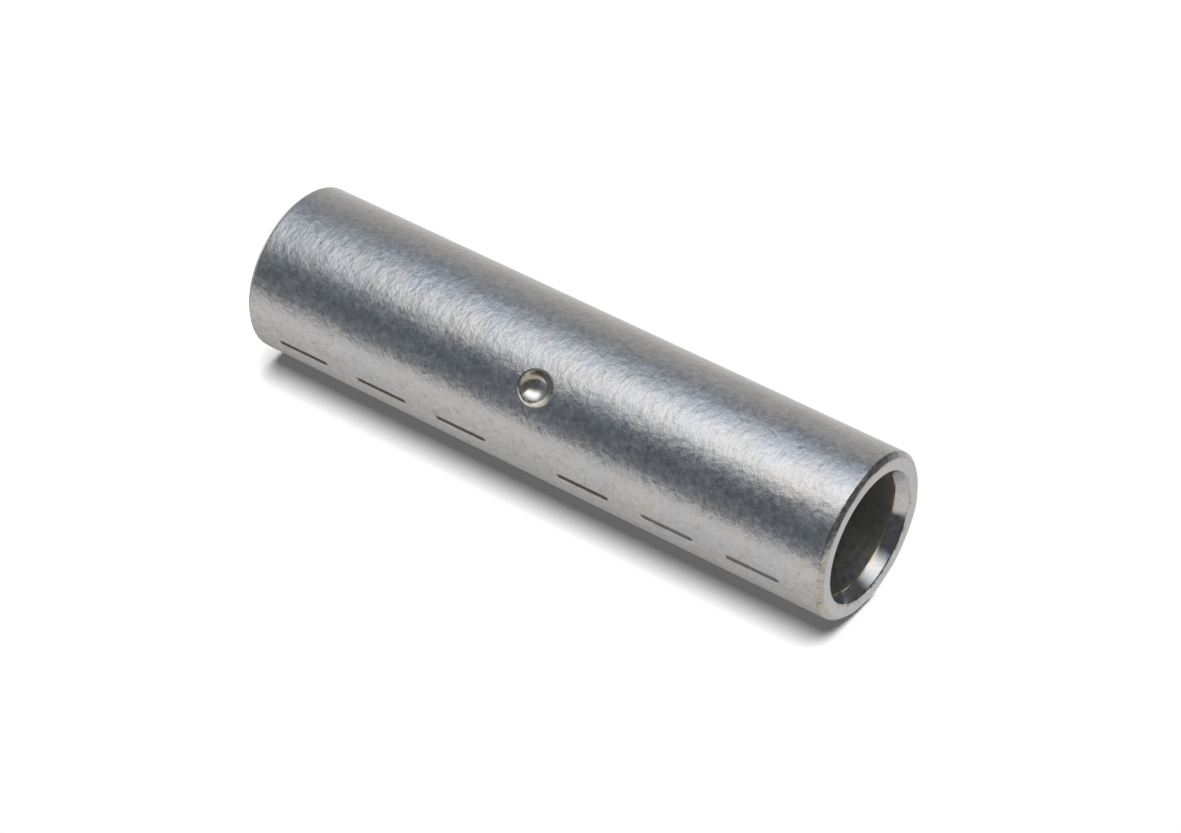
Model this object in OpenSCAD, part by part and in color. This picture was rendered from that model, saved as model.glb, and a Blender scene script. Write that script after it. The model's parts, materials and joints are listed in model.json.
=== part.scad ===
// Compression splice for a 50 square millimetre stranded conductor.
// A straight tinned copper tube stands on one end on Z = 0, with its axis along Z. A conductor goes
// into each end as far as the stop, which a round punch has raised in the middle of the bore.

/* [Barrel] */
// Length of the barrel from end to end
barrel_length = 56; // [46:0.5:90]
// Bore of each socket, for the bare conductor
bore_d = 10; // [7:0.1:14]
// Wall of the drawn tube
wall = 2.1; // [1.5:0.05:3.5]

/* [Ends] */
// Chamfer that breaks the outer edge of each end
edge_chamfer = 0.4; // [0.1:0.05:0.7]
// Width of the countersink on the end face
mouth_width = 0.65; // [0.2:0.05:0.8]
// Full angle of the countersink
mouth_angle = 60; // [40:5:120]

/* [Conductor stop] */
// Width of the punched dimple at the barrel's surface
dimple_d = 3; // [2:0.1:4]
// Depth of the dimple
dimple_depth = 1.1; // [0.6:0.05:1.4]
// How far the stop stands into the bore
stop_rise = 0.9; // [0.5:0.05:1.5]
// How much the punch draws the bore in round the stop, on the radius
draw_in = 0.1; // [0.05:0.01:0.2]
// Reach of the drawn-in stretch above and below the stop
draw_reach = 4; // [3:0.25:6]

/* [Crimp marks] */
// Crimps on each conductor
marks_per_side = 3; // [2:1:4]
// Length of a mark, which is the width of one crimp
mark_length = 5; // [3:0.25:6]
// Clear length before the first mark of a side and after its last
mark_margin = 3.5; // [2:0.25:5]
// Width of the pressed line
mark_width = 0.5; // [0.3:0.05:0.8]
// Depth of the pressed line
mark_depth = 0.2; // [0.1:0.05:0.4]
// Angle from the dimple round to the row of marks
mark_turn = 55; // [20:1:180]

/* [Hidden] */
$fn = 96;

half_length = barrel_length / 2;
bore_r = bore_d / 2;
outer_r = bore_r + wall;
mouth_r = bore_r + mouth_width;
mouth_depth = mouth_width / tan(mouth_angle / 2);
// The chamfer leaves a fifth of the end face flat
edge = min(edge_chamfer, 0.8 * (wall - mouth_width));

// The punch has a ball nose, and the stop is the same ball grown by the metal left under it
punch_r = (dimple_d * dimple_d / 4 + dimple_depth * dimple_depth) / (2 * dimple_depth);
punch_centre = outer_r + punch_r - dimple_depth;
stop_r = punch_centre - bore_r + stop_rise;

mark_pitch = (half_length - 2 * mark_margin - mark_length) / (marks_per_side - 1);

// Sets its children on the axis at a height, with their Z pointing straight out of the wall and
// their Y up. A turn of 0 points to the front, and a positive one goes round to the right.
module facing(turn, height) {
    translate([0, 0, height])
        rotate([90, 0, turn])
            children();
}

// Half section of the wall: radius along X, height along Y
module wall_section() {
    polygon([
        [mouth_r, barrel_length],
        [bore_r, barrel_length - mouth_depth],
        [bore_r, half_length + draw_reach],
        [bore_r - draw_in, half_length],
        [bore_r, half_length - draw_reach],
        [bore_r, mouth_depth],
        [mouth_r, 0],
        [outer_r - edge, 0],
        [outer_r, edge],
        [outer_r, barrel_length - edge],
        [outer_r - edge, barrel_length]
    ]);
}

// The tube as cut, with its edges broken and its mouths countersunk
module tube() {
    rotate_extrude()
        wall_section();
}

// Dome that the punch raises in the bore
module stop_dome() {
    intersection() {
        facing(0, half_length)
            translate([0, 0, punch_centre])
                sphere(stop_r);
        translate([0, 0, half_length - stop_r])
            cylinder(r = bore_r + wall / 2, h = 2 * stop_r);
    }
}

// Ball nose of the punch, which leaves the dimple
module punch_nose() {
    facing(0, half_length)
        translate([0, 0, punch_centre])
            sphere(punch_r);
}

// Outline of one crimp mark, seen from outside the barrel
module mark_outline() {
    straight = mark_length - mark_width;
    square([mark_width, straight], center = true);
    for (end = [-1, 1])
        translate([0, end * straight / 2])
            circle(d = mark_width);
}

// Row of pressed lines that shows where the crimps go
module crimp_marks() {
    for (side = [-1, 1])
        for (i = [0 : marks_per_side - 1])
            facing(mark_turn, half_length + side * (mark_margin + mark_length / 2 + i * mark_pitch))
                translate([0, 0, outer_r - mark_depth])
                    linear_extrude(2 * mark_depth)
                        mark_outline();
}

module splice_barrel() {
    color("#b4b4b1")
        difference() {
            union() {
                tube();
                stop_dome();
            }
            punch_nose();
            crimp_marks();
        }
}

splice_barrel();
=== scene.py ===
# %% [markdown]
# # A compression splice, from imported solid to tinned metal
# A compression splice is a short copper tube that joins two stranded cables end to end. The bare
# ends go into the bore as far as a stop in the middle, and a crimping tool then presses the wall
# onto them. This one is cut from drawn tube, countersunk, punched, marked and tinned.
#
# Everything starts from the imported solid, which is loaded as a fixed frame. Its box and its mounts
# give the main sizes, so that what is modelled here can't drift away from the real part.

# %% load the frame
import json
import math

import bmesh
import bpy
import mathutils.noise
from mathutils import Matrix, Vector


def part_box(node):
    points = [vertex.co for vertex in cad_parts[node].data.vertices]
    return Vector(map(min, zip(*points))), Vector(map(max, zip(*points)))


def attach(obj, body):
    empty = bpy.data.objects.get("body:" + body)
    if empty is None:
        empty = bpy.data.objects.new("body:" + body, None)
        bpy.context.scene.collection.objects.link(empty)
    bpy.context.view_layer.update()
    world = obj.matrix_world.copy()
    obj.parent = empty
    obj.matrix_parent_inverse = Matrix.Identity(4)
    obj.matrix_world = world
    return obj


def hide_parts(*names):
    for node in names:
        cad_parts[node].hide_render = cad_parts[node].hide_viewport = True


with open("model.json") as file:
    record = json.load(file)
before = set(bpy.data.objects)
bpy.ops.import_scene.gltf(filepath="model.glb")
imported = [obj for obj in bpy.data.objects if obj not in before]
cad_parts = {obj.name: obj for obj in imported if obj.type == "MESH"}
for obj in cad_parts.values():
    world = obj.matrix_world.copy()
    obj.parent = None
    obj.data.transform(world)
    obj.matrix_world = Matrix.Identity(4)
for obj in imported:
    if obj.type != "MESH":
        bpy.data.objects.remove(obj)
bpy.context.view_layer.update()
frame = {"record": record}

MM = 0.001
MOUNTS = {mount["name"]: mount["dims"] for mount in frame["record"]["mounts"]}
OUTER_R = MOUNTS["barrel_outside"]["r_mm"]
BORE_R = MOUNTS["socket_top"]["r_mm"]
LENGTH = (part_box("splice_barrel")[1].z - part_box("splice_barrel")[0].z) / MM
MIDDLE = LENGTH / 2
print(f"barrel: {LENGTH:.2f} mm long, {2 * OUTER_R:.2f} mm outside, {2 * BORE_R:.2f} mm bore")

# %% [markdown]
# ## The wall, as half a section
# A tube is easiest to make as a lathe would: draw half of its section once, then turn it about the
# axis. Nine corners are enough. A chamfer breaks both outer edges, and every cut edge has a small
# round, because no real edge is quite sharp. Both are vertex bevels on the wire itself, where one
# corner becomes a whole ring after the turning. A support point near each end of a long side keeps
# the smooth shading of a round from spilling over the flat beside it. All modelling is done in
# millimetres, with the barrel standing on Z = 0, and scaled to metres at the end.

# %% draw the section
EDGE = 0.4
MOUTH_WIDTH = 0.65
MOUTH_ANGLE = 60
MOUTH_R = BORE_R + MOUTH_WIDTH
MOUTH_DEPTH = MOUTH_WIDTH / math.tan(math.radians(MOUTH_ANGLE / 2))
DRAW_IN = 0.1
DRAW_REACH = 4
EDGE_ROUND = 0.08
RIM_ROUND = 0.07
BORE_ROUND = 0.12
SUPPORT = 0.08
CORNER_BEVEL = {"offset_type": "OFFSET", "profile": 0.5, "affect": "VERTICES", "material": -1}


def draw_section(bm):
    """A closed wire of the wall's half section in the plane of X and Z, with its edges broken."""
    corners = [
        (OUTER_R, 0),
        (OUTER_R, LENGTH),
        (MOUTH_R, LENGTH),
        (BORE_R, LENGTH - MOUTH_DEPTH),
        (BORE_R, MIDDLE + DRAW_REACH),
        (BORE_R - DRAW_IN, MIDDLE),
        (BORE_R, MIDDLE - DRAW_REACH),
        (BORE_R, MOUTH_DEPTH),
        (MOUTH_R, 0),
    ]
    wire = [bm.verts.new((radius, 0, height)) for radius, height in corners]
    for start, end in zip(wire, wire[1:] + wire[:1]):
        bm.edges.new((start, end))
    chamfers = bmesh.ops.bevel(bm, geom=[wire[0], wire[1]], offset=EDGE, segments=1, **CORNER_BEVEL)
    bmesh.ops.bevel(bm, geom=chamfers["verts"], offset=EDGE_ROUND, segments=2, **CORNER_BEVEL)
    bmesh.ops.bevel(bm, geom=[wire[2], wire[8]], offset=RIM_ROUND, segments=2, **CORNER_BEVEL)
    bmesh.ops.bevel(bm, geom=[wire[3], wire[7]], offset=BORE_ROUND, segments=2, **CORNER_BEVEL)
    for edge in [edge for edge in bm.edges if edge.calc_length() > 4 * SUPPORT]:
        near = edge.verts[0]
        rest, _ = bmesh.utils.edge_split(edge, near, SUPPORT / edge.calc_length())
        far = max((edge, rest), key=lambda part: part.calc_length())
        bmesh.utils.edge_split(far, far.verts[1], SUPPORT / far.calc_length())


barrel = bmesh.new()
draw_section(barrel)
print(f"section: {len(barrel.verts)} points, mouth {MOUTH_DEPTH:.2f} mm deep")

# %% [markdown]
# ## Rows where the detail will be
# A dent needs points to bend. Before the section is turned, its two long sides get rows: even ones
# all along, closer ones at the dimple and the stop, and a tight group at both ends of each crimp
# mark, where the pressed line is rounded. Bisecting the wire with level planes puts a row exactly
# where it is wanted. The blade that pressed the marks was set a little low, so the whole row of
# marks drops by a third of a millimetre from the middle.

# %% cut the rows
MARKS_PER_SIDE = 3
MARK_LENGTH = 5
MARK_MARGIN = 3.5
MARK_PITCH = (MIDDLE - 2 * MARK_MARGIN - MARK_LENGTH) / (MARKS_PER_SIDE - 1)
MARK_STEPS = [MARK_MARGIN + MARK_LENGTH / 2 + step * MARK_PITCH for step in range(MARKS_PER_SIDE)]
ROW_DROP = 0.33
MARK_HEIGHTS = [MIDDLE - ROW_DROP + side * step for step in MARK_STEPS for side in (-1, 1)]
WALL_PITCH = 1
BORE_PITCH = 2
DIMPLE_ROWS = {"reach": 2.5, "pitch": 0.5}
STOP_ROWS = {"reach": 3, "pitch": 0.3}
MARK_END_ROWS = {"reach": 0.4, "pitch": 0.1}
TOUCH = 0.001


def spread(start, stop, pitch):
    """Evenly spaced values from start to stop, both included, about a pitch apart."""
    count = round((stop - start) / pitch)
    return [start + (stop - start) * step / count for step in range(count + 1)]


def spread_round(middle, reach, pitch):
    """Evenly spaced values to both sides of a middle."""
    return spread(middle - reach, middle + reach, pitch)


def cut_rows(bm, inner, outer, heights):
    """Splits the part of the wire between two radii at each height."""
    for height in heights:
        side = [edge for edge in bm.edges if all(inner <= vert.co.x <= outer for vert in edge.verts)]
        bmesh.ops.bisect_plane(bm, geom=side, dist=TOUCH, plane_co=(0, 0, height), plane_no=(0, 0, 1))


wall_rows = spread(WALL_PITCH, LENGTH - WALL_PITCH, WALL_PITCH) + spread_round(MIDDLE, **DIMPLE_ROWS)
for height in MARK_HEIGHTS:
    wall_rows += spread_round(height - MARK_LENGTH / 2, **MARK_END_ROWS)
    wall_rows += spread_round(height + MARK_LENGTH / 2, **MARK_END_ROWS)
bore_rows = spread(BORE_PITCH, LENGTH - BORE_PITCH, BORE_PITCH) + spread_round(MIDDLE, **STOP_ROWS)
cut_rows(barrel, OUTER_R - TOUCH, OUTER_R + TOUCH, wall_rows)
cut_rows(barrel, 0, BORE_R + TOUCH, bore_rows)
print(f"rows: {len(barrel.verts)} points on the section")

# %% [markdown]
# ## Turning the barrel
# The section is spun round the axis in three stretches that follow each other. The first crosses
# the row of crimp marks in narrow steps, and the other two go on round the back to the dimple and
# from there to the start in coarse steps. One full spin with steps narrow enough for the marks would
# need more than five times the faces. The last column meets the first, so doubles are merged and
# the normals made to point outwards.

# %% spin the section
MARK_TURN = 55
MARK_FIELD = 0.6
FIELD_TURN = math.degrees(MARK_FIELD / OUTER_R)
FULL_TURN = 360
FIELD_STEPS = 20
BACK_STEPS = 100
FRONT_STEPS = 17


def spin_on(bm, profile, degrees, steps):
    """Carries a profile on round the axis, and returns the profile where it ends."""
    made = bmesh.ops.spin(bm, geom=profile, cent=(0, 0, 0), axis=(0, 0, 1), dvec=(0, 0, 0),
                          angle=math.radians(degrees), steps=steps, use_merge=False)
    return made["geom_last"]


def azimuth(degrees):
    """Rotation that takes the +X side to an angle from the front, positive towards +X."""
    return Matrix.Rotation(math.radians(degrees - 90), 3, "Z")


to_field = azimuth(MARK_TURN - FIELD_TURN)
bmesh.ops.rotate(barrel, cent=(0, 0, 0), matrix=to_field, verts=barrel.verts[:])
column = barrel.verts[:] + barrel.edges[:]
column = spin_on(barrel, column, 2 * FIELD_TURN, FIELD_STEPS)
column = spin_on(barrel, column, FULL_TURN - MARK_TURN - FIELD_TURN, BACK_STEPS)
spin_on(barrel, column, MARK_TURN - FIELD_TURN, FRONT_STEPS)
bmesh.ops.remove_doubles(barrel, verts=barrel.verts[:], dist=TOUCH)
bmesh.ops.recalc_face_normals(barrel, faces=barrel.faces[:])
print(f"turned barrel: {len(barrel.faces)} faces")

# %% [markdown]
# ## The crimp marks
# Six short lines are pressed into the wall with a blade, to show where the crimps go. They could be
# cut with a boolean, but a pressed line has sloping sides and round ends, so the points near each
# line are pushed in by how close they lie to it. The share of the full depth is kept on each point
# as an attribute, and the tin's material reads it to darken the lines.

# %% press the marks
MARK_WIDTH = 0.5
MARK_DEPTH = 0.2
MARK_FLOOR = 0.1
MARK_LIP = 0.03


def turn_of(point):
    """Angle of a point round the barrel, from the front, positive towards +X."""
    return math.atan2(point.x, -point.y)


def smooth_step(value, start, stop):
    """0 at start and before, 1 at stop and after, eased between; start may be the larger."""
    share = min(max((value - start) / (stop - start), 0), 1)
    return share * share * (3 - 2 * share)


def mark_share(across, height):
    """How deep a point lies in the nearest mark, from 0 on the wall to 1 on the mark's floor."""
    straight = (MARK_LENGTH - MARK_WIDTH) / 2
    past_ends = min(max(abs(height - middle) - straight, 0) for middle in MARK_HEIGHTS)
    return smooth_step(math.hypot(across, past_ends), MARK_WIDTH / 2 + MARK_LIP, MARK_FLOOR)


def press_marks(bm):
    """Pushes the outer wall in along the marks and notes the share of the depth on each point."""
    groove = bm.verts.layers.float.new("groove")
    for vert in bm.verts:
        across = OUTER_R * (turn_of(vert.co) - math.radians(MARK_TURN))
        if vert.co.xy.length > OUTER_R - TOUCH and abs(across) < MARK_FIELD:
            vert[groove] = mark_share(across, vert.co.z)
            vert.co.xy *= 1 - MARK_DEPTH * vert[groove] / OUTER_R


press_marks(barrel)
print(f"marks: {len(MARK_HEIGHTS)} lines, {MARK_LENGTH} mm long, at heights {sorted(MARK_HEIGHTS)}")

# %% [markdown]
# ## The conductor stop
# A ball-nosed punch dents the wall from outside. Inside, the dent comes through as a dome, and the
# conductors stop against it. The dome is the same ball grown by the metal left under it, so one
# function gives the radius at which a ball meets a line from the axis. The bore's points move in
# to it, and a soft minimum leaves a fillet where dome and bore meet.

# %% raise the stop
DIMPLE_D = 3
DIMPLE_DEPTH = 1.1
STOP_RISE = 0.9
STOP_FILLET = 0.4
PUNCH_R = (DIMPLE_D**2 / 4 + DIMPLE_DEPTH**2) / (2 * DIMPLE_DEPTH)
PUNCH_OUT = OUTER_R + PUNCH_R - DIMPLE_DEPTH
STOP_R = PUNCH_OUT - BORE_R + STOP_RISE


def ball_reach(turn, height, ball_r):
    """Radius at which a line from the axis meets a ball at the punch's centre."""
    room = ball_r**2 - (height - MIDDLE) ** 2 - (PUNCH_OUT * math.sin(turn)) ** 2
    if room <= 0 or abs(turn) > math.pi / 2:
        return math.inf
    return PUNCH_OUT * math.cos(turn) - math.sqrt(room)


def soft_min(first, second, fillet):
    """The smaller of two values, eased over a fillet where they are nearly equal."""
    if math.isinf(second):
        return first
    near = max(fillet - abs(first - second), 0) / fillet
    return min(first, second) - near * near * fillet / 4


def raise_stop(bm):
    """Moves the points of the bore in to the dome of the stop."""
    for vert in bm.verts:
        radius = vert.co.xy.length
        if radius < BORE_R + TOUCH:
            dome = ball_reach(turn_of(vert.co), vert.co.z, STOP_R)
            vert.co.xy *= soft_min(radius, dome, STOP_FILLET) / radius


raise_stop(barrel)
print(f"stop: {STOP_RISE} mm high in the bore, ball radius {STOP_R:.2f} mm")

# %% [markdown]
# ## The dimple
# The dent's rim is a clean circle, which the square net of rows and columns can't follow. So a
# square window is cut in the wall, and a flat disc of rings is spun about the punch's own axis. The
# rings lie closest at the rim, where the bowl turns over into the wall.

# %% cut the window and spin the disc
WINDOW = 2.5
WALL_TOLERANCE = 0.1
DISC_R = 2.1
BOWL_RINGS = 18
LIP_RINGS = 7


def cut_window(bm):
    """Opens a square window in the outer wall at the punch's axis and returns its edges."""
    def inside(face):
        centre = face.calc_center_median()
        across = OUTER_R * abs(turn_of(centre))
        return centre.xy.length > OUTER_R - WALL_TOLERANCE and max(across, abs(centre.z - MIDDLE)) < WINDOW
    bmesh.ops.delete(bm, geom=[face for face in bm.faces if inside(face)], context="FACES")
    return [edge for edge in bm.edges if edge.is_boundary]


def spin_disc(bm, columns):
    """Spins a flat disc of rings about the punch's axis and returns its points."""
    rim_angle = math.asin(DIMPLE_D / 2 / PUNCH_R)
    rings = [PUNCH_R * math.sin(angle) for angle in spread(0, rim_angle, rim_angle / BOWL_RINGS)]
    rings += spread(DIMPLE_D / 2, DISC_R, (DISC_R - DIMPLE_D / 2) / LIP_RINGS)[1:]
    spoke = [bm.verts.new((0, -OUTER_R, MIDDLE + ring)) for ring in rings]
    edges = [bm.edges.new(pair) for pair in zip(spoke, spoke[1:])]
    known = set(bm.verts) - set(spoke)
    bmesh.ops.spin(bm, geom=spoke + edges, cent=(0, -OUTER_R, MIDDLE), axis=(0, -1, 0), dvec=(0, 0, 0),
                   angle=math.tau, steps=columns, use_merge=True)
    made = [vert for vert in bm.verts if vert not in known]
    bmesh.ops.remove_doubles(bm, verts=made, dist=TOUCH)
    return [vert for vert in bm.verts if vert not in known]


window = cut_window(barrel)
disc = spin_disc(barrel, len(window))
print(f"dimple: window of {len(window)} edges, disc of {len(disc)} points")

# %% [markdown]
# ## The dimple, set into the wall
# The disc is wrapped onto the barrel, and its middle is pressed in to the punch's ball, with a fillet
# at the rim. It has as many columns as the window has edges, so one bridge joins them. A boolean
# would leave long thin faces here, and they would show as creases in the shine. The bridge is divided
# and its new points are set on the wall's radius, so it stays round.

# %% wrap the disc and bridge it to the window
RIM_FILLET = 0.4
BRIDGE_CUTS = 2


def wrap(vert):
    """Carries a point of the flat disc onto the barrel, and down into the bowl."""
    turn = vert.co.x / OUTER_R
    radius = soft_min(OUTER_R, ball_reach(turn, vert.co.z, PUNCH_R), RIM_FILLET)
    vert.co.xy = radius * math.sin(turn), -radius * math.cos(turn)


for point in disc:
    wrap(point)
rim = [edge for edge in barrel.edges if edge.is_boundary and edge not in set(window)]
bridge = bmesh.ops.bridge_loops(barrel, edges=window + rim)
spokes = [edge for edge in bridge["edges"] if edge not in set(window + rim)]
cut = bmesh.ops.subdivide_edges(barrel, edges=spokes, cuts=BRIDGE_CUTS, use_grid_fill=True)
for item in cut["geom_inner"]:
    if isinstance(item, bmesh.types.BMVert):
        item.co.xy *= OUTER_R / item.co.xy.length
bmesh.ops.recalc_face_normals(barrel, faces=barrel.faces[:])
open_edges = sum(not edge.is_manifold for edge in barrel.edges)
print(f"dimple: {len(spokes)} spokes in the bridge, {open_edges} open edges left")

# %% [markdown]
# ## Signs of the workshop
# The real splice isn't perfect. The upper countersink was cut a tenth of a millimetre off centre,
# towards the dimple. From end to end the row of marks drifts a few degrees round the barrel, and a
# twist along the length gives that: it moves the marks and leaves the plain tube as it was. The
# upper chamfer was broken by hand, so its inner edge wanders, which a smooth noise round the rim
# does. A perfect tube would look drawn by a computer.

# %% shift the mouth, twist the row and let the chamfer waver
MOUTH_SHIFT = 0.1
MARK_DRIFT = -5.4
WAVER = 0.14
WAVER_PITCH = 2.2


def shift_mouth(bm):
    """Moves the upper rim of the countersink towards the dimple."""
    lowest = LENGTH - MOUTH_DEPTH / 4
    widest = MOUTH_R + 3 * SUPPORT
    rim = [vert for vert in bm.verts if vert.co.z > lowest and vert.co.xy.length < widest]
    bmesh.ops.translate(bm, vec=(0, -MOUTH_SHIFT, 0), verts=rim)
    return len(rim)


def twist(bm):
    """Turns each point about the axis in proportion to its height above the middle."""
    for vert in bm.verts:
        turn = math.radians(MARK_DRIFT) * (vert.co.z - MIDDLE) / LENGTH
        vert.co = Matrix.Rotation(turn, 3, "Z") @ vert.co


def waver(bm):
    """Lets the inner edge of the upper chamfer wander in and out."""
    for vert in bm.verts:
        radius = vert.co.xy.length
        reach = 1 - smooth_step(abs(radius - OUTER_R + EDGE), SUPPORT, EDGE)
        if reach > 0 and LENGTH - vert.co.z < EDGE / 2:
            on_rim = OUTER_R / radius * vert.co.xy.to_3d()
            vert.co.xy *= 1 + WAVER * reach * mathutils.noise.noise(on_rim / WAVER_PITCH) / radius


moved = shift_mouth(barrel)
twist(barrel)
waver(barrel)
print(f"mouth: {moved} points moved {MOUTH_SHIFT} mm; row of marks twisted {MARK_DRIFT} degrees")

# %% [markdown]
# ## From bmesh to a piece
# The bmesh is scaled to metres and becomes one object at the origin. It replaces the solid's node,
# rides on the only body, and names the material slot that its finish belongs to.

# %% make the piece
bmesh.ops.scale(barrel, vec=(MM, MM, MM), verts=barrel.verts[:])
for face in barrel.faces:
    face.smooth = True
mesh = bpy.data.meshes.new("tinned_barrel")
barrel.to_mesh(mesh)
barrel.free()
skin = bpy.data.objects.new("tinned_barrel", mesh)
bpy.context.scene.collection.objects.link(skin)
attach(skin, "root")
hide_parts("splice_barrel")
triangles = sum(len(polygon.vertices) - 2 for polygon in mesh.polygons)
print(f"piece: {triangles} triangles")

# %% [markdown]
# ## Shader maths that reads like maths
# A finish is a set of formulas over the surface. Nodes drawn one by one bury them, so a small class
# wraps an output socket: adding or multiplying such values adds the Math nodes. Every other kind of
# node comes from one method, which sets the node's own settings before its sockets. A Mix node
# carries numbers, vectors and colours side by side, so its colour sockets are named by their places.

# %% wrap the sockets
MIX_COLOUR = {"data_type": "RGBA"}
MIX_SOCKETS = (0, 6, 7)
MIX_RESULT = 2


class Value:
    """An output of a shader node. Arithmetic on it adds Math nodes to its tree."""

    def __init__(self, socket):
        self.socket = socket
        self.tree = socket.id_data

    @staticmethod
    def node(tree, kind, settings, inputs, output=0):
        """Adds a node with its settings and then its sockets, and wraps one of its outputs."""
        made = tree.nodes.new(kind)
        for name, setting in settings.items():
            if name == "stops":
                for _ in setting[2:]:
                    made.color_ramp.elements.new(1)
                for element, (place, colour) in zip(made.color_ramp.elements, setting):
                    element.position = place
                    element.color = colour
            else:
                setattr(made, name, setting)
        for name, given in inputs.items():
            if isinstance(given, Value):
                tree.links.new(given.socket, made.inputs[name])
            else:
                made.inputs[name].default_value = given
        return Value(made.outputs[output])

    def maths(self, operation, first, second=0.0):
        """A Math node over one or two values."""
        return Value.node(self.tree, "ShaderNodeMath", {"operation": operation}, {0: first, 1: second})

    def __add__(self, other):
        return self.maths("ADD", self, other)

    def __sub__(self, other):
        return self.maths("SUBTRACT", self, other)

    def __rsub__(self, other):
        return self.maths("SUBTRACT", other, self)

    def __mul__(self, other):
        return self.maths("MULTIPLY", self, other)

    def __pow__(self, other):
        return self.maths("POWER", self, other)

    __radd__ = __add__
    __rmul__ = __mul__

    def size(self):
        """The value without its sign."""
        return self.maths("ABSOLUTE", self)

    def larger(self, other):
        """The larger of two values."""
        return self.maths("MAXIMUM", self, other)

    def angle_from(self, other):
        """Angle whose sine goes with this value and whose cosine goes with the other."""
        return self.maths("ARCTAN2", self, other)

    def rise(self, start, stop):
        """0 before start and 1 after stop, eased between; start may be the larger of the two."""
        ends = {"Value": self, "From Min": start, "From Max": stop}
        return Value.node(self.tree, "ShaderNodeMapRange", {"interpolation_type": "SMOOTHSTEP"}, ends)

    def feed(self, node, name):
        """Links the value to an input of a node that is there already."""
        self.tree.links.new(self.socket, node.inputs[name])


def mix(share, first, second):
    """A colour that goes from first to second as share goes from 0 to 1."""
    inputs = dict(zip(MIX_SOCKETS, (share, first, second)))
    return Value.node(share.tree, "ShaderNodeMix", MIX_COLOUR, inputs, MIX_RESULT)


print("shader helpers ready")

# %% [markdown]
# ## Where each finish goes
# Tinned metal looks different wherever another tool touched it: the end faces are sawn, the mouths
# are cut, the dimple is punched and the bore is only dipped. Each of these gets a mask, a value that
# is 1 there and 0 elsewhere. The masks could be painted on the mesh, but formulas over the object's
# own coordinates need no points of their own and stay on the metal from every side. All are in
# millimetres, as the modelling is, and most of the soft borders are about as wide as the rounds of
# the edges.

# %% coordinates and masks
FACE_BORDER = (0.08, 0.01)
MOUTH_FLOOR_BORDER = 0.1
MOUTH_RIM_BORDER = 0.05
BORE_BORDER = (0.1, 0.02)
PUNCH_SIDE_BORDER = 0.5
BOWL_BORDER = 0.15
LIP_WIDTH = 0.3


def new_material(name):
    """A new material and its tree of nodes."""
    material = bpy.data.materials.new(name)
    material.use_nodes = True
    return material, material.node_tree


def scaled(vector, factors):
    """A position with its axes stretched by factors."""
    settings = {"operation": "MULTIPLY"}
    return Value.node(vector.tree, "ShaderNodeVectorMath", settings, {0: vector, 1: factors})


def in_millimetres(tree):
    """The place on the object, in millimetres."""
    return scaled(Value.node(tree, "ShaderNodeTexCoord", {}, {}, "Object"), (1 / MM, 1 / MM, 1 / MM))


def axis_of(vector, number):
    """One of the three numbers of a position."""
    return Value.node(vector.tree, "ShaderNodeSeparateXYZ", {}, {"Vector": vector}, number)


tin, tree = new_material("tinned_copper")
place = in_millimetres(tree)
x, y, z = (axis_of(place, number) for number in range(3))
radius = (x * x + y * y) ** 0.5
inward = OUTER_R - radius
from_end = MIDDLE - (z - MIDDLE).size()
from_punch = (x * x + (z - MIDDLE) * (z - MIDDLE)) ** 0.5
groove = Value.node(tree, "ShaderNodeAttribute", {"attribute_name": "groove"}, {}, "Fac")

face = from_end.rise(*FACE_BORDER)
near_end = from_end.rise(MOUTH_DEPTH + MOUTH_FLOOR_BORDER, MOUTH_DEPTH)
mouth = near_end * radius.rise(MOUTH_R + MOUTH_RIM_BORDER, MOUTH_R)
bore = (radius - BORE_R).rise(*BORE_BORDER) * (1 - mouth)
at_punch = y.rise(-BORE_R, -BORE_R - PUNCH_SIDE_BORDER)
bowl = at_punch * from_punch.rise(DIMPLE_D / 2, DIMPLE_D / 2 - BOWL_BORDER)
lip = at_punch * from_punch.rise(DIMPLE_D / 2 + LIP_WIDTH, DIMPLE_D / 2)
print(f"masks: {len(tree.nodes)} nodes so far")

# %% [markdown]
# ## The cut edges
# Tin is thinnest on an edge, so copper shows there in broken golden lines: where the countersink
# meets the bore, and along both sides of the chamfer. On one side the chamfer also has a beige burr
# with dark pits, and the mouth's rim has small nicks. The lines could be thin strips of mesh, but a
# mask on the distance to the edge follows it all the way round, and noise breaks it up. The burr
# and the nicks keep to their own side of the barrel.

# %% cut edges
BORE_LINE_DEPTH = (0.12, 0.06)
BORE_LINE_HEIGHT = (0.14, 0.04)
FACE_LINE = 0.12
RIM_LINE = 0.15
RIM_LINE_DEPTH = (0.2, 0.1)
CHAMFER_BORDER = 0.1
BURR_TURN = 42
BURR_SIDE = (0.8, 0.97)
NICK_TURN = 151
NICK_SIDE = (0.1, 0.6)
NICK_REACH = (0.22, 0.1)
NICK_HEIGHT = (0.3, 0.2)


def noise(vector, scale, detail=2.0, roughness=0.5):
    """A cloud of values round one half, with about this many features per millimetre."""
    inputs = {"Vector": vector, "Scale": scale, "Detail": detail, "Roughness": roughness}
    return Value.node(vector.tree, "ShaderNodeTexNoise", {}, inputs)


def facing(turn):
    """Near 1 on the side of the barrel that lies this many degrees round from the dimple."""
    angle = math.radians(turn)
    return (x * math.sin(angle) - y * math.cos(angle)) * (1 / OUTER_R)


def line(distance, half_width):
    """1 where a distance is about 0, and 0 from half a line's width on."""
    return distance.size().rise(half_width, half_width / 3)


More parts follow.
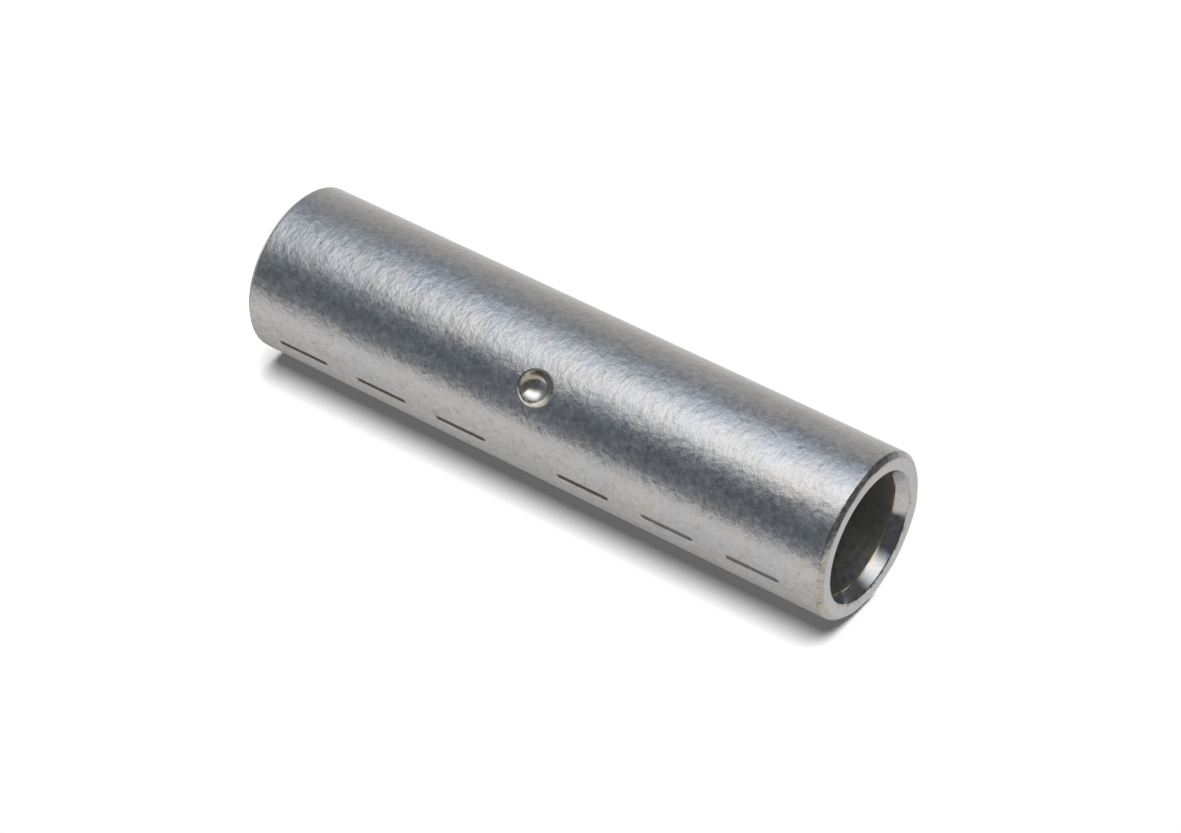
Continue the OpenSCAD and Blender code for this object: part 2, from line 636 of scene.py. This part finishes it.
worn = noise(place, 1.0, 2.0).rise(0.35, 0.55)
spots = noise(place, 1.7, 1.5)
speckle = spots.rise(0.45, 0.6)
pits = spots.rise(0.45, 0.36)
bore_line = (radius - BORE_R).rise(*BORE_LINE_DEPTH) * (from_end - MOUTH_DEPTH).rise(*BORE_LINE_HEIGHT)
face_line = line(inward - EDGE, FACE_LINE) * face
rim_line = line(from_end - EDGE, RIM_LINE) * inward.rise(*RIM_LINE_DEPTH)
bare = 0.8 * bore_line + 0.4 * face_line + 0.4 * rim_line
chamfer = from_end.rise(EDGE + CHAMFER_BORDER, EDGE) * inward.rise(EDGE + CHAMFER_BORDER, EDGE)
burr = chamfer * facing(BURR_TURN).rise(*BURR_SIDE)
nicks = (radius - MOUTH_R).size().rise(*NICK_REACH) * from_end.rise(*NICK_HEIGHT)
nicks = nicks * noise(place, 2.2, 1.0).rise(0.5, 0.6) * facing(NICK_TURN).rise(*NICK_SIDE)
print(f"cut edges: {len(tree.nodes)} nodes so far")

# %% [markdown]
# ## The tone of the tin
# The tin wanders between a cool and a warm grey in large clouds, with dull smudges from handling. Over
# that lie bright strokes that run round the barrel, a fine mottle of bright and dull crystals, and a
# few specks where copper shows through. One flat grey would look like plastic here. The dimple is
# bright where the punch rubbed it. One side of its bowl has painted shade, darker and tinted brown
# like copper under thin tin, and the bore is oxidised.
# Dirt fills the pressed lines, and the two upper ones are rubbed paler. Each of these is one more mix.

# %% tone
COOL_TIN = (0.665, 0.672, 0.685, 1)
WARM_TIN = (0.708, 0.685, 0.662, 1)
BRIGHT_TIN = (0.85, 0.85, 0.85, 1)
DULL_TIN = (0.44, 0.44, 0.45, 1)
PUNCHED_TIN = (0.84, 0.82, 0.775, 1)
# painted shade: a darker, brownish tin for one side of the dimple's bowl
SHADED_THIN_TIN = (0.55, 0.51, 0.42, 1)
BARE_COPPER = (0.42, 0.27, 0.18, 1)
GOLDEN_COPPER = (0.68, 0.53, 0.35, 1)
BEIGE_BURR = (0.76, 0.66, 0.50, 1)
GROOVE_DIRT = (0.41, 0.33, 0.265, 1)
BORE_OXIDE = (0.60, 0.60, 0.585, 1)
STROKE_STRETCH = (1, 1, 3)
BOWL_SHADE_SLANT = 0.7
BOWL_SHADE_BORDER = (-0.5, -1.3)
RUBBED_FROM = (MIDDLE + 8, MIDDLE + 12)

clouds = noise(place, 0.3, 3.0)
smudges = noise(place, 0.6, 3.0, 0.6)
strokes = noise(scaled(place, STROKE_STRETCH), 2.0, 2.0)
mottle = noise(place, 1.9, 4.0, 0.75)
specks = noise(place, 1.6, 2.0)
# painted shade on the upper side of the dimple's bowl, darker and tinted like copper under thin tin
shaded_bowl_side = lip * (x + BOWL_SHADE_SLANT * (z - MIDDLE)).rise(*BOWL_SHADE_BORDER)
rubbed = z.rise(*RUBBED_FROM)

tone = mix(clouds.rise(0.35, 0.65), COOL_TIN, WARM_TIN)
tone = mix(0.2 * smudges.rise(0.48, 0.7), tone, DULL_TIN)
tone = mix(0.35 * strokes.rise(0.5, 0.75), tone, BRIGHT_TIN)
tone = mix(0.75 * mottle.rise(0.5, 0.72), tone, BRIGHT_TIN)
tone = mix(0.75 * mottle.rise(0.5, 0.28), tone, DULL_TIN)
tone = mix(0.15 * specks.rise(0.62, 0.72), tone, BARE_COPPER)
tone = mix(lip, tone, PUNCHED_TIN)
# painted shade: one side of the bowl is darkened and browned
tone = mix(shaded_bowl_side, tone, SHADED_THIN_TIN)
tone = mix(bore, tone, BORE_OXIDE)
tone = mix(bare * worn, tone, GOLDEN_COPPER)
tone = mix(0.7 * burr * speckle, tone, BEIGE_BURR)
tone = mix(nicks + 0.5 * burr * pits, tone, GROOVE_DIRT)
tone = mix(groove.rise(0.02, 0.2) * (0.5 - 0.3 * rubbed), tone, BARE_COPPER)
tone = mix(groove.rise(0.1, 0.5) * (1 - 0.95 * rubbed), tone, GROOVE_DIRT)
principled = tree.nodes["Principled BSDF"]
tone.feed(principled, "Base Color")
print("tone: cool and warm tin, bright strokes, copper specks, dark lines and bore")

# %% [markdown]
# ## The grain of the tin
# The tube was drawn and tumbled before it was dipped, so its shine is satin: a broad highlight,
# broken up by short flecks, tiny dents and a slow swell of the wall. They are far too shallow to
# model, so they are a bump. Its mean height is taken off first, because a mask that fades a raised
# pattern out would leave a false step at its border. The mouths and the dimple, cut last, stay
# smooth, and the bore nearly so. The bright crystals of the mottle are also the rougher ones, which
# keeps the grain visible both in the highlight and beside it.

# %% grain
GRAIN_DEPTH = 0.062
GRAIN_MEAN = 1.2
FLECK_STRETCH = (1, 1, 1.6)

satin = 0.12 + 0.26 * mottle.rise(0.25, 0.75)
roughness = satin + 0.2 * face + 0.25 * bore - 0.12 * mouth - 0.06 * bowl + 0.5 * groove
roughness.feed(principled, "Roughness")

flecks = noise(scaled(place, FLECK_STRETCH), 1.0, 4.0, 0.68)
to_dent = Value.node(tree, "ShaderNodeTexVoronoi", {}, {"Vector": place, "Scale": 1.8}, "Distance")
dents = to_dent * to_dent
swell = noise(place, 0.25, 1.0)
grain = flecks + 0.2 * dents + 1.3 * swell - GRAIN_MEAN
grain = grain * (1 - mouth) * (1 - bowl) * (1 - 0.7 * face) * (1 - 0.85 * bore)
height = grain + 0.8 * burr * noise(place, 2.0, 3.0)
relief = {"Height": height, "Distance": GRAIN_DEPTH * MM, "Strength": 1}
Value.node(tree, "ShaderNodeBump", {}, relief).feed(principled, "Normal")
principled.inputs["Metallic"].default_value = 1
skin.data.materials.append(tin)
print(f"tinned copper: {len(tree.nodes)} nodes")

# %% [markdown]
# ## The studio, laid out as photographed
# The photograph shows the barrel lying on a white sheet, while the part stands on its end, because
# a lying tube rolls. So the sheet, the lamp and the camera are set out in the photograph's own axes,
# in millimetres: X along the barrel, Y away from the viewer, Z up from the sheet. One turn carries
# them all to the standing barrel, and the picture comes out as if the barrel were lying, with its
# dimple turned up from the viewer's side.

# %% the photograph's axes
DIMPLE_RISE = math.radians(41.5)
ALONG = Vector((0, 0, 1))
BACK = Vector((-math.sin(DIMPLE_RISE), math.cos(DIMPLE_RISE), 0))
UP = Vector((-math.cos(DIMPLE_RISE), -math.sin(DIMPLE_RISE), 0))
LYING = Matrix((ALONG, BACK, UP)).transposed()


def stand(point):
    """Carries a point from the photograph's axes to the standing part, in metres."""
    return MM * (LYING @ (Vector(point) - Vector((0, 0, OUTER_R))) + Vector((0, 0, MIDDLE)))


def aim(obj, point, right, look):
    """Puts a camera or lamp at a point of the photograph's axes, facing along look."""
    across = LYING @ right
    backward = -(LYING @ look)
    turned = Matrix((across, backward.cross(across), backward)).transposed()
    obj.matrix_world = Matrix.Translation(stand(point)) @ turned.to_4x4()


print(f"the sheet's up is {tuple(round(part, 3) for part in UP)} on the standing part")

# %% [markdown]
# ## The camera
# The lens, the distance and the two angles were found by matching the barrel's outline and both of
# its end circles to the photograph. The camera aims a little beside the barrel's middle, so no
# shift of the lens is needed. The plain Standard view keeps the white of the sheet white.

# %% set the camera
AZIMUTH = math.radians(35.714)
ELEVATION = math.radians(41.832)
DISTANCE = 323.6
AIM_RIGHT = 1.219
AIM_UP = -1.585
LENS = 123.91
SENSOR = 36

right = Vector((math.cos(AZIMUTH), math.sin(AZIMUTH), 0))
ahead = Vector((-math.sin(AZIMUTH), math.cos(AZIMUTH), 0))
look = math.cos(ELEVATION) * ahead - math.sin(ELEVATION) * Vector((0, 0, 1))
target = Vector((0, 0, OUTER_R)) + AIM_RIGHT * right + AIM_UP * right.cross(look)
camera = bpy.data.objects.new("camera", bpy.data.cameras.new("camera"))
camera.data.lens = LENS
camera.data.sensor_width = SENSOR
bpy.context.scene.collection.objects.link(camera)
aim(camera, target - DISTANCE * look, right, look)
bpy.context.scene.camera = camera
bpy.context.scene.view_settings.view_transform = "Standard"
print(f"camera: {LENS} mm lens, {DISTANCE} mm away")

# %% [markdown]
# ## The softbox
# One large soft lamp hangs over the barrel. Its only work is the shadow on the sheet: the width of
# the lamp sets how softly the shadow ends. Bare metal would mirror its hard edge, so it is hidden
# from mirror rays, and the metal gets its shine from what the next two steps put round it.

# %% hang the softbox
SOFTBOX_HEIGHT = 1000
SOFTBOX_SIZE = (800, 960)
SOFTBOX_PLACE = (60, -60)
SOFTBOX_POWER = 19.5

softbox = bpy.data.objects.new("softbox", bpy.data.lights.new("softbox", "AREA"))
softbox.data.shape = "ELLIPSE"
softbox.data.size = SOFTBOX_SIZE[0] * MM
softbox.data.size_y = SOFTBOX_SIZE[1] * MM
softbox.data.energy = SOFTBOX_POWER
softbox.visible_camera = False
softbox.visible_glossy = False
bpy.context.scene.collection.objects.link(softbox)
aim(softbox, (*SOFTBOX_PLACE, SOFTBOX_HEIGHT), Vector((1, 0, 0)), Vector((0, 0, -1)))
print(f"softbox: {SOFTBOX_SIZE} mm, {softbox.data.energy:.2f} W")

# %% [markdown]
# ## The room that the metal mirrors
# Metal shows its surroundings, so most of its look is the room round it. The room is a ring of soft
# greys about the barrel's axis: white paper towards the viewer's feet, a dark room in front and
# overhead, a pale wall behind, and the barrel's own shadow below. A photograph of a studio could do
# this too, but a colour ramp over the angle is easy to read and to change. A place of 0.5 on it is
# straight up, 0.25 is the viewer's side, 0.75 is behind, and 0 and 1 are straight down. The end of
# the barrel faces the other way and mirrors a darker ring. Rays from the camera see plain white, and
# rays that left the sheet see nothing, so only the softbox lights it.

# %% paint the room
WALL_RING = [
    (0.0, (0.47, 0.463, 0.458, 1)),
    (0.0875, (0.55, 0.542, 0.536, 1)),
    (0.15, (0.70, 0.686, 0.674, 1)),
    (0.202, (0.70, 0.686, 0.674, 1)),
    (0.226, (0.185, 0.20, 0.225, 1)),
    (0.27, (0.155, 0.17, 0.195, 1)),
    (0.32, (0.105, 0.117, 0.137, 1)),
    (0.355, (0.16, 0.18, 0.205, 1)),
    (0.58, (0.255, 0.30, 0.36, 1)),
    (0.63, (0.26, 0.275, 0.30, 1)),
    (0.68, (0.40, 0.40, 0.395, 1)),
    (0.725, (0.45, 0.44, 0.42, 1)),
    (0.80, (0.66, 0.65, 0.64, 1)),
    (0.883, (0.86, 0.85, 0.845, 1)),
    (0.905, (0.30, 0.295, 0.29, 1)),
    (0.935, (0.30, 0.295, 0.29, 1)),
    (0.97, (0.42, 0.414, 0.41, 1)),
    (1.0, (0.47, 0.463, 0.458, 1)),
]
END_RING = [
    (0.0, (0.52, 0.51, 0.505, 1)),
    (0.2, (0.66, 0.65, 0.64, 1)),
    (0.225, (0.072, 0.076, 0.084, 1)),
    (0.735, (0.085, 0.09, 0.095, 1)),
    (0.79, (0.55, 0.54, 0.535, 1)),
    (0.883, (0.80, 0.79, 0.785, 1)),
    (1.0, (0.52, 0.51, 0.505, 1)),
]
RING_CHANGE = (-0.35, 0.2)
BLACK = (0, 0, 0, 1)
WHITE = (1, 1, 1, 1)


def along(vector, axis):
    """How far a vector goes along an axis."""
    settings = {"operation": "DOT_PRODUCT"}
    return Value.node(vector.tree, "ShaderNodeVectorMath", settings, {0: vector, 1: axis}, "Value")


world = bpy.data.worlds.new("studio")
world.use_nodes = True
world.cycles_visibility.diffuse = False
bpy.context.scene.world = world
room = world.node_tree
direction = Value.node(room, "ShaderNodeTexCoord", {}, {}, "Generated")
from_up = along(direction, BACK).angle_from(along(direction, UP))
ring = from_up * (1 / math.tau) + 0.5
wall_greys = Value.node(room, "ShaderNodeValToRGB", {"stops": WALL_RING}, {"Fac": ring})
end_greys = Value.node(room, "ShaderNodeValToRGB", {"stops": END_RING}, {"Fac": ring})
greys = mix(along(direction, ALONG).rise(*RING_CHANGE), wall_greys, end_greys)
off_sheet = Value.node(room, "ShaderNodeLightPath", {}, {}, "Diffuse Depth").rise(0, 1)
seen = Value.node(room, "ShaderNodeLightPath", {}, {}, "Is Camera Ray")
mix(seen, mix(off_sheet, greys, BLACK), WHITE).feed(room.nodes["Background"], "Color")
print(f"room: {len(WALL_RING)} greys round the barrel, {len(END_RING)} past its end")

# %% [markdown]
# ## The glow overhead
# The broad highlight along the barrel is the mirror image of a lit panel above it. Where that panel
# ends, the highlight ends too, and it fades towards the far end of the barrel as the photograph shows.
# The ring of greys has no ends, so the panel is a real square of the stage, seen by mirror rays alone.
# It fades to clear at all four edges, lies a little askew, and is warmer at the front than behind.

# %% hang the glow
GLOW_HEIGHT = 200
GLOW_HALF = 240
GLOW_POWER = 1.35
GLOW_WARM = (1.0, 0.985, 0.98, 1)
GLOW_COOL = (0.92, 0.985, 1.08, 1)
GLOW_LEFT = (-220, -45)
GLOW_RIGHT = (205, 140)
GLOW_FRONT = (-210, -55)
GLOW_BACK = (150, -60)
GLOW_COOLING = (-80, 60)
GLOW_SKEW = 0.25
GLOW_PIVOT = -90


def lay(name, centre, half, material, hidden):
    """A flat square of the stage at a point of the photograph's axes, hidden from some rays."""
    square = bmesh.new()
    spot = Matrix.Translation(stand(centre)) @ LYING.to_4x4()
    bmesh.ops.create_grid(square, x_segments=1, y_segments=1, size=half * MM, matrix=spot)
    mesh = bpy.data.meshes.new(name)
    square.to_mesh(mesh)
    square.free()
    mesh.materials.append(material)
    obj = bpy.data.objects.new(name, mesh)
    for ray in hidden:
        setattr(obj, f"visible_{ray}", False)
    bpy.context.scene.collection.objects.link(obj)


def soft_glow():
    """White light that fades towards the panel's edges, and is clear otherwise."""
    material, nodes = new_material("soft_glow")
    position = in_millimetres(nodes)
    lengthwise = along(position, ALONG) - MIDDLE
    skewed = along(position, BACK) - GLOW_SKEW * (lengthwise - GLOW_PIVOT)
    share = lengthwise.rise(*GLOW_LEFT) * lengthwise.rise(*GLOW_RIGHT)
    share = share * skewed.rise(*GLOW_FRONT) * skewed.rise(*GLOW_BACK)
    white = mix(skewed.rise(*GLOW_COOLING), GLOW_WARM, GLOW_COOL)
    light = Value.node(nodes, "ShaderNodeEmission", {}, {"Color": white, "Strength": GLOW_POWER})
    clear = Value.node(nodes, "ShaderNodeBsdfTransparent", {}, {})
    faded = Value.node(nodes, "ShaderNodeMixShader", {}, {0: share, 1: clear, 2: light})
    faded.feed(nodes.nodes["Material Output"], "Surface")
    return material


lay("glow", (0, 0, GLOW_HEIGHT), GLOW_HALF, soft_glow(), ("camera", "diffuse", "transmission", "shadow"))
print(f"glow: {2 * GLOW_HALF} mm square, {GLOW_HEIGHT} mm up")

# %% [markdown]
# ## The white sheet
# The sheet that the barrel lies on in the photograph touches it along one line. Here it is a square
# of the stage that only the camera sees, and all it has to show is the shadow. So it is matte near
# the barrel, glows to plain white a short way off, past both ends and behind, and is clear from its
# back, where it would only be in the way. A faint glow of its own keeps the shadow from going black.

# %% lay the sheet
SHEET_HALF = 400
SHEET_WHITE = (0.9, 0.9, 0.9, 1)
SHADE = (0.13, 0.13, 0.13, 1)
WHITE_PAST_END = (29, 40)
WHITE_OFF_AXIS = (14, 30)
WHITE_BEHIND = (0.2, 2)


def white_paper():
    """Matte white that only the softbox lights, plain white a short way off, and clear behind."""
    material, nodes = new_material("white_sheet")
    position = in_millimetres(nodes)
    level = scaled(position, (1, 1, 0))
    off_axis = Value.node(nodes, "ShaderNodeVectorMath", {"operation": "LENGTH"}, {0: level}, "Value")
    past_end = (along(position, ALONG) - MIDDLE).size().rise(*WHITE_PAST_END)
    behind = along(position, BACK).rise(*WHITE_BEHIND)
    share = past_end.larger(off_axis.rise(*WHITE_OFF_AXIS)).larger(behind)
    matte = Value.node(nodes, "ShaderNodeBsdfDiffuse", {}, {"Color": SHEET_WHITE})
    shade = Value.node(nodes, "ShaderNodeEmission", {}, {"Color": SHADE})
    lit = Value.node(nodes, "ShaderNodeAddShader", {}, {0: matte, 1: shade})
    white = Value.node(nodes, "ShaderNodeEmission", {}, {"Color": WHITE})
    front = Value.node(nodes, "ShaderNodeMixShader", {}, {0: share, 1: lit, 2: white})
    clear = Value.node(nodes, "ShaderNodeBsdfTransparent", {}, {})
    reverse = Value.node(nodes, "ShaderNodeNewGeometry", {}, {}, "Backfacing")
    sided = Value.node(nodes, "ShaderNodeMixShader", {}, {0: reverse, 1: front, 2: clear})
    sided.feed(nodes.nodes["Material Output"], "Surface")
    return material


lay("sheet", (0, 0, 0), SHEET_HALF, white_paper(), ("diffuse", "glossy", "transmission", "shadow"))
print(f"sheet: {2 * SHEET_HALF} mm square")
